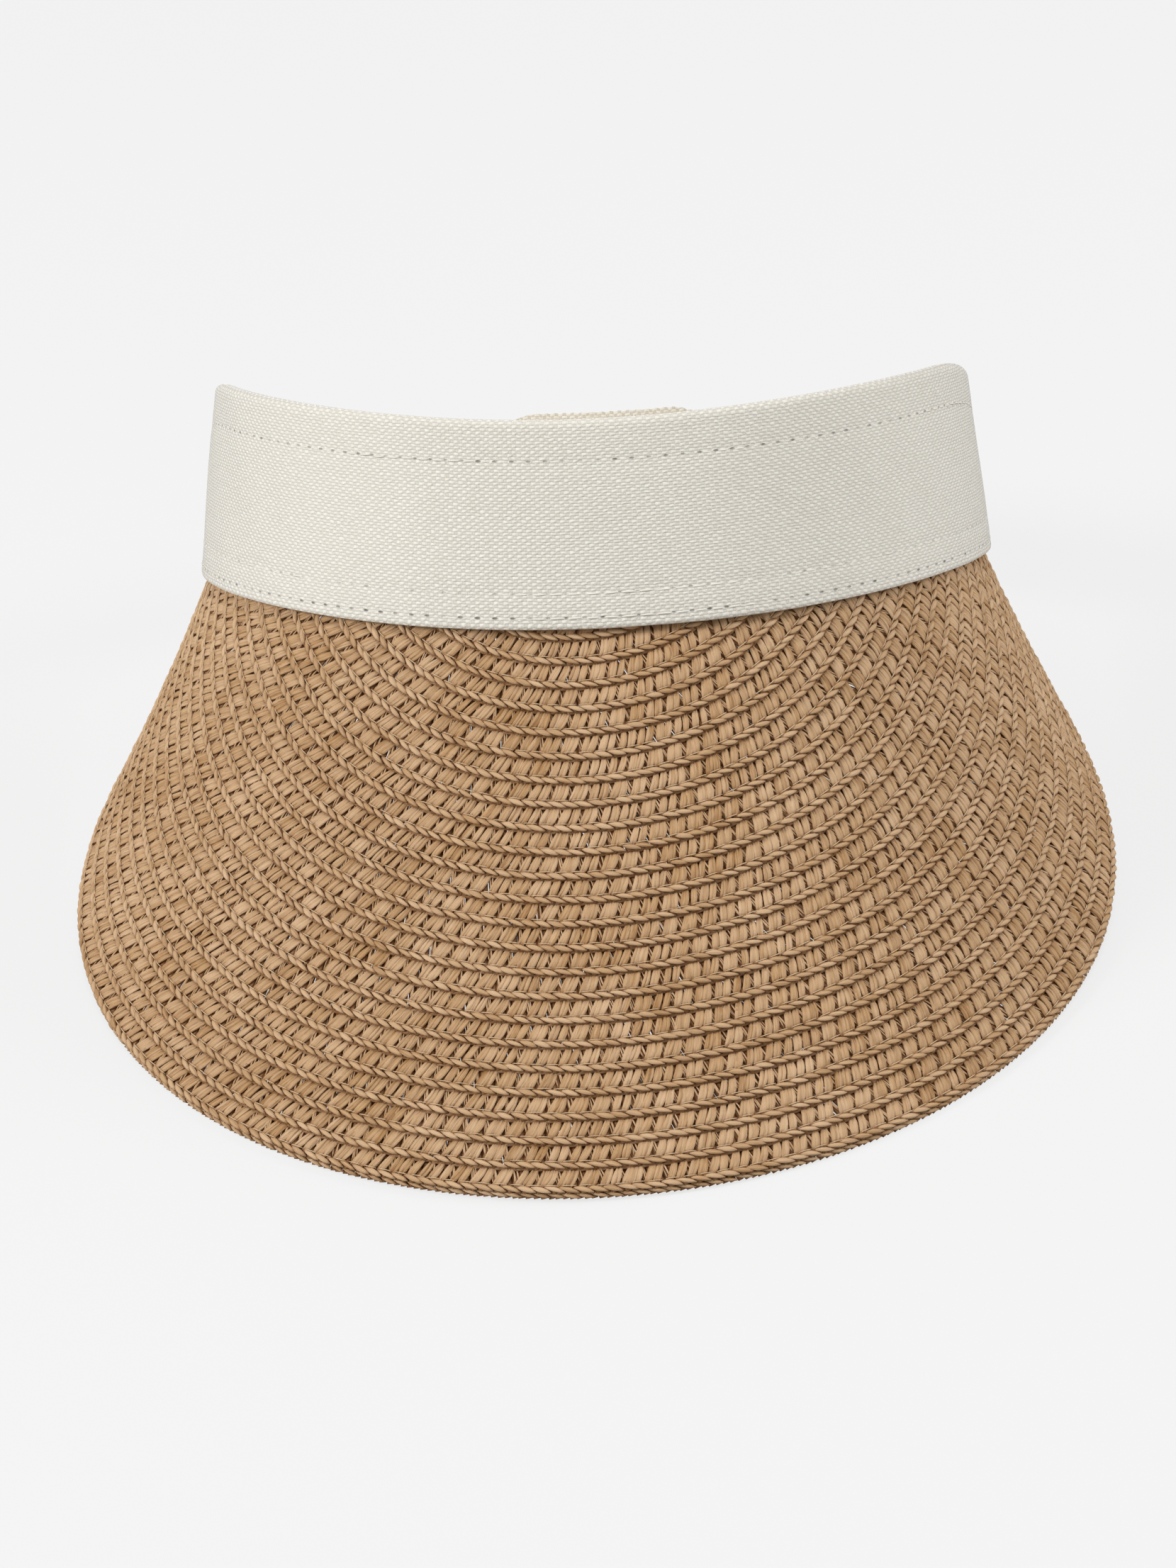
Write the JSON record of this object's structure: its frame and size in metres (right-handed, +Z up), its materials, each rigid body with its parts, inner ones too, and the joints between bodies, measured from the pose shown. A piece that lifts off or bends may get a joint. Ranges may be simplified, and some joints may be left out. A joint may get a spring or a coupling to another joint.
{
  "type": "sun visor",
  "caption": "Open-crown sun visor: shingled straw-braid brim sewn to an upright canvas head band that narrows into two tails closed by a hook-and-loop tab at the back.",
  "frame": {"origin": "centre of the bounding box at the surface that the visor stands on, touching it with the brim's rim and the tails", "axes": "+Z up; -Y towards the brim's front; +X to the side of the outer tail. The head ring leans back about 24 degrees"},
  "size_m": [0.2286, 0.2702, 0.1197],
  "materials": {
    "braid": "woven paper straw braid",
    "straw_thread": "clear straw-coloured thread",
    "canvas": "natural cotton canvas, plain weave",
    "canvas_thread": "cotton sewing thread",
    "stiffener": "stiff interlining",
    "sweatband": "ribbed beige sweatband",
    "lining": "plain cotton lining",
    "loop": "soft loop pile",
    "hook": "fine plastic hooks"
  },
  "bodies": {
    "visor": {"braid_row_01": "braid", "braid_row_02": "braid", "braid_row_03": "braid", "braid_row_04": "braid", "braid_row_05": "braid", "braid_row_06": "braid", "braid_row_07": "braid", "braid_row_08": "braid", "braid_row_09": "braid", "braid_row_10": "braid", "braid_row_11": "braid", "braid_row_12": "braid", "braid_row_13": "braid", "braid_row_14": "braid", "braid_row_15": "braid", "braid_row_16": "braid", "braid_row_17": "braid", "braid_row_18": "braid", "braid_row_19": "braid", "braid_row_20": "braid", "braid_row_21": "braid", "braid_row_22": "braid", "braid_row_23": "braid", "braid_row_24": "braid", "braid_row_25": "braid", "edge_facing_braid": "braid", "brim_seam_threads": "straw_thread", "front_canvas": "canvas", "band_stiffener": "stiffener", "sweatband": "sweatband", "top_stitching": "canvas_thread", "hem_stitching": "canvas_thread", "edge_stitching": "canvas_thread"},
    "inner_tail": {"inner_tail_canvas": "canvas", "inner_tail_stiffener": "stiffener", "inner_tail_lining": "lining", "inner_tail_stitching": "canvas_thread", "loop_patch": "loop", "loop_patch_stitching": "canvas_thread"},
    "outer_tail": {"outer_tail_canvas": "canvas", "outer_tail_stiffener": "stiffener", "outer_tail_lining": "lining", "outer_tail_stitching": "canvas_thread"},
    "closure_tab": {"closure_tab_canvas": "canvas", "closure_tab_lining": "lining", "closure_tab_stitching": "canvas_thread", "hook_patch": "hook", "hook_patch_stitching": "canvas_thread"}
  },
  "joints": [
    {"name": "inner_tail_flex", "type": "hinge", "parent": "visor", "child": "inner_tail", "pos_m": [-0.07336, 0.08523, 0.02709], "axis": [-0.1004, -0.3525, -0.9304], "range_deg": [0, 20], "stiffness_Nm_per_rad": 0.03},
    {"name": "outer_tail_flex", "type": "hinge", "parent": "visor", "child": "outer_tail", "pos_m": [0.0754, 0.08634, 0.0266], "axis": [0.1004, -0.3525, -0.9304], "range_deg": [0, 60], "stiffness_Nm_per_rad": 0.03},
    {"name": "tab_peel", "type": "hinge", "parent": "outer_tail", "child": "closure_tab", "pos_m": [0.01609, 0.12541, 0.00091], "axis": [0.0214, -0.302, -0.9531], "range_deg": [0, 75], "stiffness_Nm_per_rad": 0.006}
  ]
}
